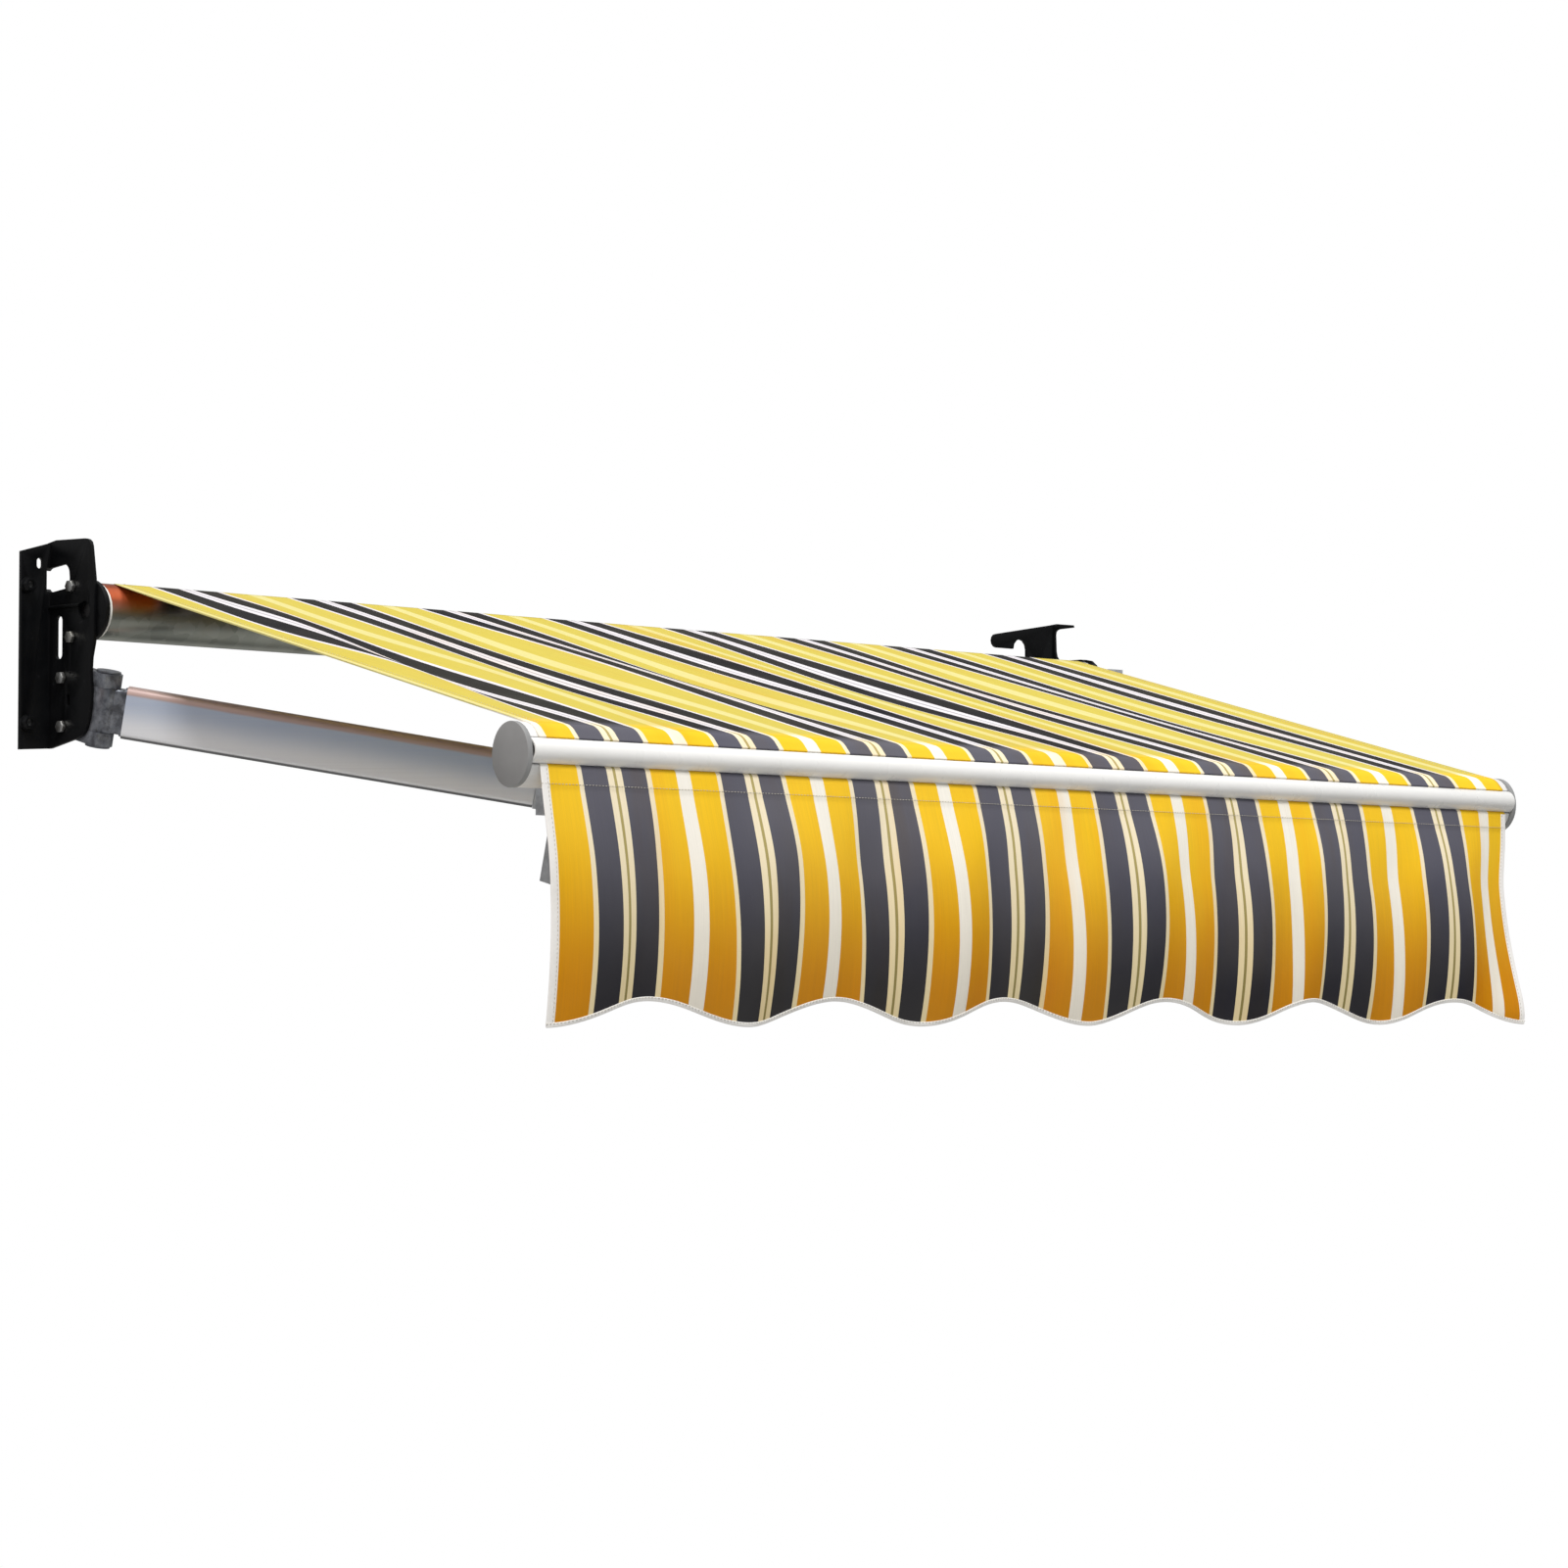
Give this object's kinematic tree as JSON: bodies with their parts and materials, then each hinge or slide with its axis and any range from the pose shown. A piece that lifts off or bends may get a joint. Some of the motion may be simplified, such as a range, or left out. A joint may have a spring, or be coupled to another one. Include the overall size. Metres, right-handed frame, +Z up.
{
  "type": "canvas awning",
  "caption": "Retractable folding-arm awning: striped canvas on a roller between two wall brackets, white front bar and scalloped valance, wound by a crank gearbox.",
  "frame": {"origin": "on the wall plane, midway between the two wall brackets, at the height of the roller axis", "axes": "+X along the roller to the crank end, +Y into the wall, +Z up; the awning reaches out along -Y"},
  "size_m": [2.1676, 0.976, 0.675],
  "materials": {
    "black_steel": "satin black powder coat",
    "cast_grey": "mottled grey die casting",
    "zinc": "zinc plated",
    "galvanised": "galvanised, lightly mirrored",
    "anodised": "satin anodised",
    "white_coat": "white powder coat",
    "cap_grey": "fine grain",
    "dark_plastic": "matt",
    "cloth": "woven acrylic canvas, striped"
  },
  "bodies": {
    "frame": {"left_wall_bracket": "black_steel", "left_bearing_plate": "black_steel", "left_wall_nut_upper": "black_steel", "left_wall_nut_lower": "black_steel", "left_bearing_bolt_1": "zinc", "left_bearing_bolt_2": "zinc", "left_shoulder_bolt_1": "zinc", "left_shoulder_bolt_2": "zinc", "left_shoulder_bracket": "cast_grey", "left_shoulder_pin": "cast_grey", "right_wall_bracket": "black_steel", "right_bearing_plate": "black_steel", "right_wall_nut_upper": "black_steel", "right_wall_nut_lower": "black_steel", "right_bearing_bolt_1": "zinc", "right_bearing_bolt_2": "zinc", "right_shoulder_bolt_1": "zinc", "right_shoulder_bolt_2": "zinc", "right_shoulder_bracket": "cast_grey", "right_shoulder_pin": "cast_grey", "gearbox_housing": "cast_grey", "gearbox_cover": "cast_grey", "canopy_panel": "cloth"},
    "roller": {"roller_tube": "galvanised", "roller_left_plug": "cap_grey", "roller_right_plug": "cap_grey", "drive_shaft": "zinc", "worm_wheel": "cast_grey"},
    "crank": {"worm_shaft": "zinc", "crank_eye": "zinc"},
    "front_bar": {"front_bar_profile": "white_coat", "canopy_keder": "dark_plastic", "valance_keder": "dark_plastic", "canopy_front_edge": "cloth", "valance": "cloth", "left_bar_end_cap": "cap_grey", "left_front_bracket": "cast_grey", "left_clamp_bolt": "zinc", "left_front_pin": "cast_grey", "right_bar_end_cap": "cap_grey", "right_front_bracket": "cast_grey", "right_clamp_bolt": "zinc", "right_front_pin": "cast_grey"},
    "left_upper_arm": {"left_shoulder_knuckle": "cast_grey", "left_upper_arm_tube": "anodised", "left_elbow_fork": "cast_grey", "left_elbow_pin": "cast_grey", "left_arm_spring": "zinc"},
    "left_forearm": {"left_forearm_tube": "anodised", "left_elbow_tongue": "cast_grey", "left_front_knuckle": "cast_grey"},
    "right_upper_arm": {"right_shoulder_knuckle": "cast_grey", "right_upper_arm_tube": "anodised", "right_elbow_fork": "cast_grey", "right_elbow_pin": "cast_grey", "right_arm_spring": "zinc"},
    "right_forearm": {"right_forearm_tube": "anodised", "right_elbow_tongue": "cast_grey", "right_front_knuckle": "cast_grey"}
  },
  "joints": [
    {"name": "left_shoulder", "type": "hinge", "parent": "frame", "child": "left_upper_arm", "pos_m": [-1.018, -0.096, -0.134], "axis": [0, -0.2419, 0.9703], "range_deg": [0, 39], "deforming": ["canopy_panel"]},
    {"name": "left_elbow", "type": "hinge", "parent": "left_upper_arm", "child": "left_forearm", "pos_m": [-0.54982, -0.5335, -0.24308], "axis": [0, -0.2419, 0.9703], "range_deg": [-82.06, 0]},
    {"name": "left_front_pivot", "type": "hinge", "parent": "left_forearm", "child": "front_bar", "pos_m": [-0.908, -0.9256, -0.34084], "axis": [0, -0.2419, 0.9703], "range_deg": [0, 43.06]},
    {"name": "right_shoulder", "type": "hinge", "parent": "frame", "child": "right_upper_arm", "pos_m": [1.018, -0.096, -0.134], "axis": [0, -0.2419, 0.9703], "range_deg": [-39, 0]},
    {"name": "right_elbow", "type": "hinge", "parent": "right_upper_arm", "child": "right_forearm", "pos_m": [0.54982, -0.5335, -0.24308], "axis": [0, -0.2419, 0.9703], "range_deg": [0, 82.06]},
    {"name": "roller_spin", "type": "hinge", "parent": "frame", "child": "roller", "pos_m": [0, -0.084, 0], "axis": [1, 0, 0], "range_deg": [-1066.7, 0]},
    {"name": "crank_spin", "type": "hinge", "parent": "frame", "child": "crank", "pos_m": [1.0568, -0.117, 0], "axis": [0, 0, 1], "range_deg": [-9600.3, 0]}
  ],
  "couplings": [
    {"joint": "left_elbow", "follows": "left_shoulder", "ratio": -2.1038},
    {"joint": "left_front_pivot", "follows": "left_shoulder", "ratio": 1.1038},
    {"joint": "right_shoulder", "follows": "left_shoulder", "ratio": -1},
    {"joint": "right_elbow", "follows": "left_shoulder", "ratio": 2.1038},
    {"joint": "roller_spin", "follows": "left_shoulder", "ratio": -27.351},
    {"joint": "crank_spin", "follows": "left_shoulder", "ratio": -246.16}
  ]
}
